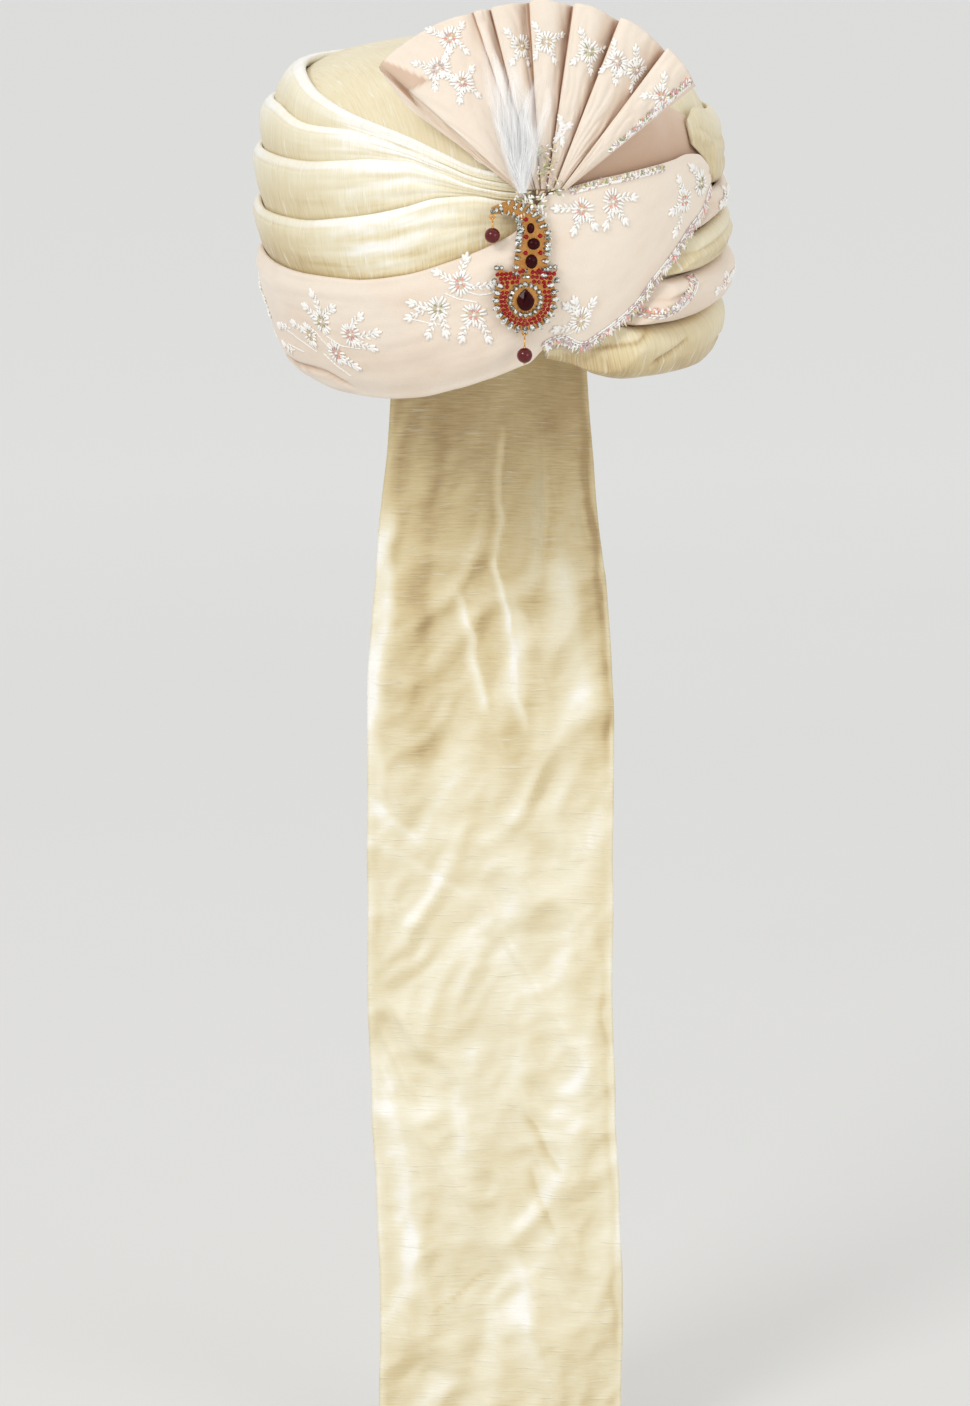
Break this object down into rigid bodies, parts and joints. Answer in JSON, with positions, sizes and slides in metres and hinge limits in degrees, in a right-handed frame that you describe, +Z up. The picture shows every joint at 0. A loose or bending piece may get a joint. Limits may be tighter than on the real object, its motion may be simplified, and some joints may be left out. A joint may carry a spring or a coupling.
{
  "type": "tied turban",
  "caption": "Tied turban with a wound padded crown, silk folds, an embroidered band, a pleated fan, a feather plume, a jewelled brooch and a long hanging tail.",
  "frame": {"origin": "middle of the head opening, level with the rim", "axes": "+Z up, along the hanging tail; the front with the fan and the brooch faces -Y; +X is at the viewer's right from the front"},
  "size_m": [0.2564, 0.2942, 0.8337],
  "materials": {
    "ivory_silk": "slubbed silk with a soft sheen",
    "pink_cloth": "matte pale pink cloth with white thread embroidery",
    "white_feather": "soft white feather",
    "gold_metal": "polished gilt",
    "garnet": "dark red glass stone",
    "red_bead": "red glass"
  },
  "bodies": {
    "root": {"crown": "ivory_silk", "silk_fold_1": "ivory_silk", "silk_fold_2": "ivory_silk", "silk_fold_3": "ivory_silk", "silk_fold_4": "ivory_silk", "embroidered_band": "pink_cloth", "embroidered_top_wrap": "pink_cloth", "silk_roll_upper": "ivory_silk", "embroidered_roll_upper": "pink_cloth", "silk_roll_middle": "ivory_silk", "embroidered_roll_lower": "pink_cloth", "silk_roll_lower": "ivory_silk", "pleated_fan": "pink_cloth", "feather_plume": "white_feather", "brooch": "gold_metal", "pear_stone": "garnet", "cabochon_top": "garnet", "cabochon_middle": "garnet", "cabochon_lower": "garnet", "red_stone_1": "red_bead", "red_stone_2": "red_bead", "red_stone_3": "red_bead", "red_stone_4": "red_bead", "red_stone_5": "red_bead", "red_stone_6": "red_bead", "red_stone_7": "red_bead", "side_drop_bead": "red_bead", "bottom_drop_bead": "red_bead", "tail": "ivory_silk"}
  },
  "joints": []
}
